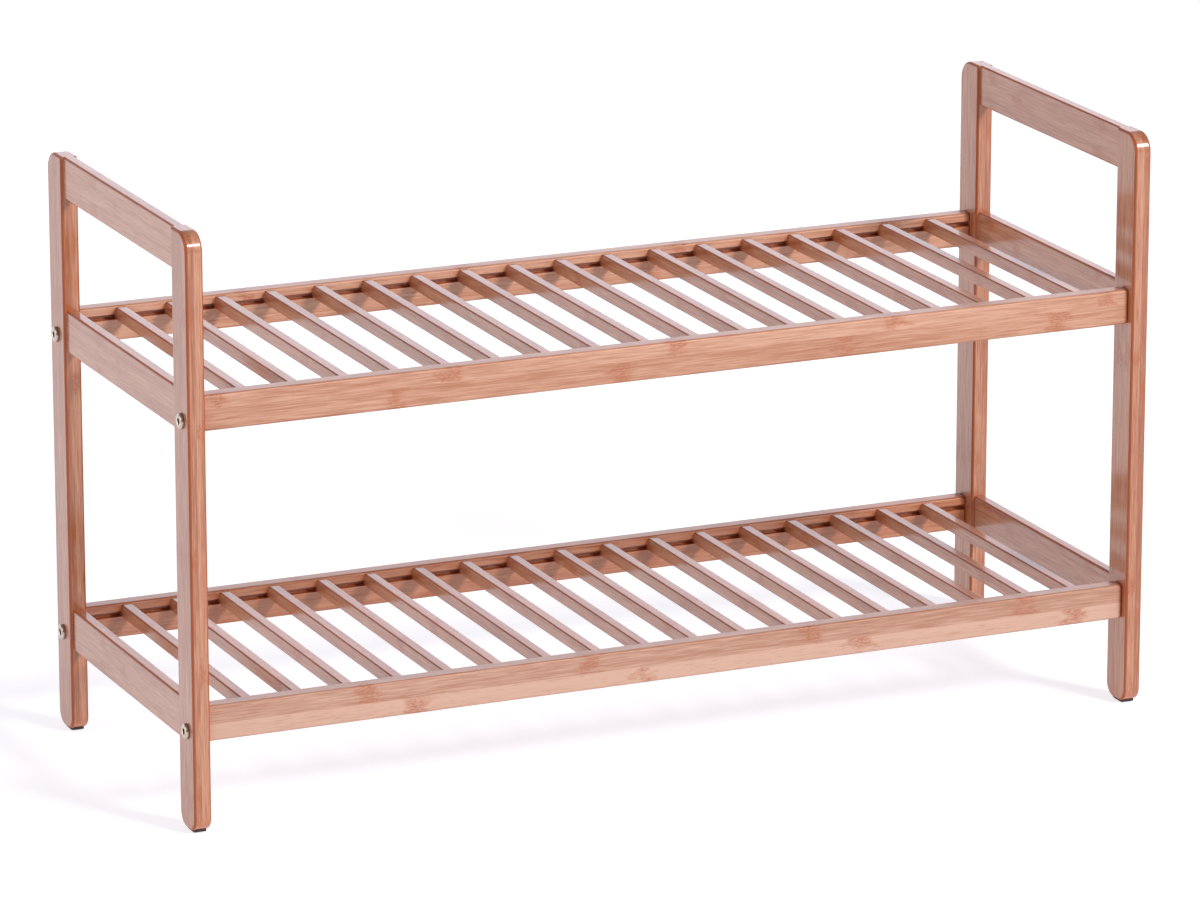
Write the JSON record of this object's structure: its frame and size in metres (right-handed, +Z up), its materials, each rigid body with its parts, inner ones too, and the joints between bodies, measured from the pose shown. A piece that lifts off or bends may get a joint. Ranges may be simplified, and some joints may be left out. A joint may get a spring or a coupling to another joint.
{
  "type": "entryway bench",
  "caption": "Low tiered slatted bamboo rack with open side frames, raised hand-hold rails and rounded feet, for shoes in an entryway.",
  "frame": {"origin": "on the floor, midway between the two side frames and midway between front and back", "axes": "+X along the length from the left to the right side frame, +Y from front to back, +Z up"},
  "size_m": [0.6948, 0.26, 0.4],
  "materials": {
    "bamboo": "carbonised bamboo, semi-gloss clear lacquer",
    "bolt_steel": "nickel-plated",
    "insert_zinc": "zinc-plated",
    "dowel_wood": "plain beech",
    "glide_rubber": "matte black"
  },
  "bodies": {
    "root": {"left_front_post": "bamboo", "left_back_post": "bamboo", "right_front_post": "bamboo", "right_back_post": "bamboo", "left_top_rail": "bamboo", "left_upper_side_rail": "bamboo", "left_lower_side_rail": "bamboo", "right_top_rail": "bamboo", "right_upper_side_rail": "bamboo", "right_lower_side_rail": "bamboo", "upper_front_rail": "bamboo", "upper_back_rail": "bamboo", "lower_front_rail": "bamboo", "lower_back_rail": "bamboo", "upper_slat_01": "bamboo", "upper_slat_02": "bamboo", "upper_slat_03": "bamboo", "upper_slat_04": "bamboo", "upper_slat_05": "bamboo", "upper_slat_06": "bamboo", "upper_slat_07": "bamboo", "upper_slat_08": "bamboo", "upper_slat_09": "bamboo", "upper_slat_10": "bamboo", "upper_slat_11": "bamboo", "upper_slat_12": "bamboo", "upper_slat_13": "bamboo", "upper_slat_14": "bamboo", "upper_slat_15": "bamboo", "upper_slat_16": "bamboo", "upper_slat_17": "bamboo", "upper_slat_18": "bamboo", "lower_slat_01": "bamboo", "lower_slat_02": "bamboo", "lower_slat_03": "bamboo", "lower_slat_04": "bamboo", "lower_slat_05": "bamboo", "lower_slat_06": "bamboo", "lower_slat_07": "bamboo", "lower_slat_08": "bamboo", "lower_slat_09": "bamboo", "lower_slat_10": "bamboo", "lower_slat_11": "bamboo", "lower_slat_12": "bamboo", "lower_slat_13": "bamboo", "lower_slat_14": "bamboo", "lower_slat_15": "bamboo", "lower_slat_16": "bamboo", "lower_slat_17": "bamboo", "lower_slat_18": "bamboo", "left_frame_bolts": "bolt_steel", "right_frame_bolts": "bolt_steel", "left_rail_inserts": "insert_zinc", "right_rail_inserts": "insert_zinc", "left_frame_dowels": "dowel_wood", "right_frame_dowels": "dowel_wood", "foot_glides": "glide_rubber"}
  },
  "joints": []
}
